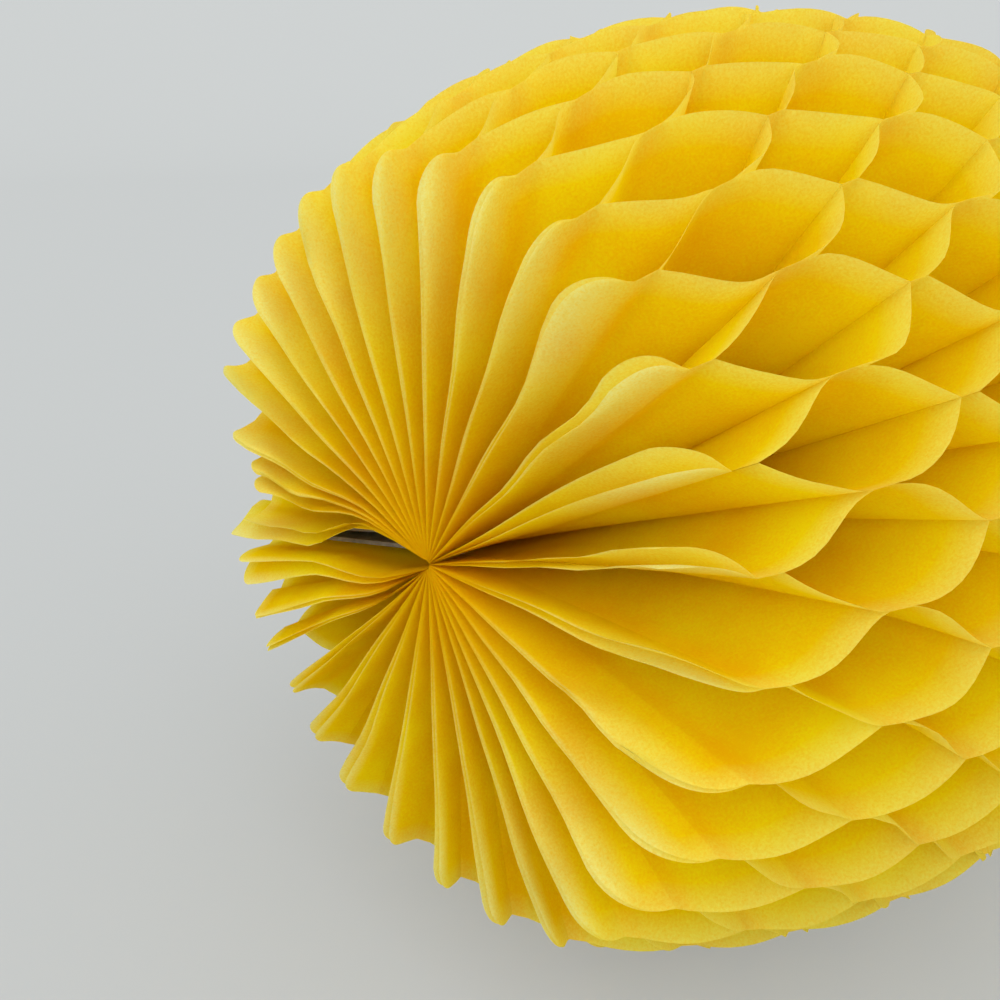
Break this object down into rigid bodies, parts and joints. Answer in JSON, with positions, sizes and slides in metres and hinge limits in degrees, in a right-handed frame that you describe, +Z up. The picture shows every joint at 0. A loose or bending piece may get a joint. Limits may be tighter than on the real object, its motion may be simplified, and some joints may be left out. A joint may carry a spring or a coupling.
{
  "type": "paper pineapple decoration",
  "caption": "Honeycomb tissue paper pineapple that lies on its side: a yellow barrel of glued diamond cells, a green crown of pointed leaves, and grey end cards that meet at a seam",
  "frame": {"origin": "On the floor, under the middle of the bounding box", "axes": "+X along the pineapple's axis from the lower end to the crown, +Z up, as it lies"},
  "size_m": [0.2912, 0.1724, 0.1699],
  "materials": {
    "yellow_tissue": "matte",
    "green_tissue": "matte",
    "grey_board": "matte"
  },
  "bodies": {
    "root": {"honeycomb_body": "yellow_tissue", "honeycomb_crown": "green_tissue", "end_card_upper": "grey_board", "end_card_lower": "grey_board"}
  },
  "joints": []
}
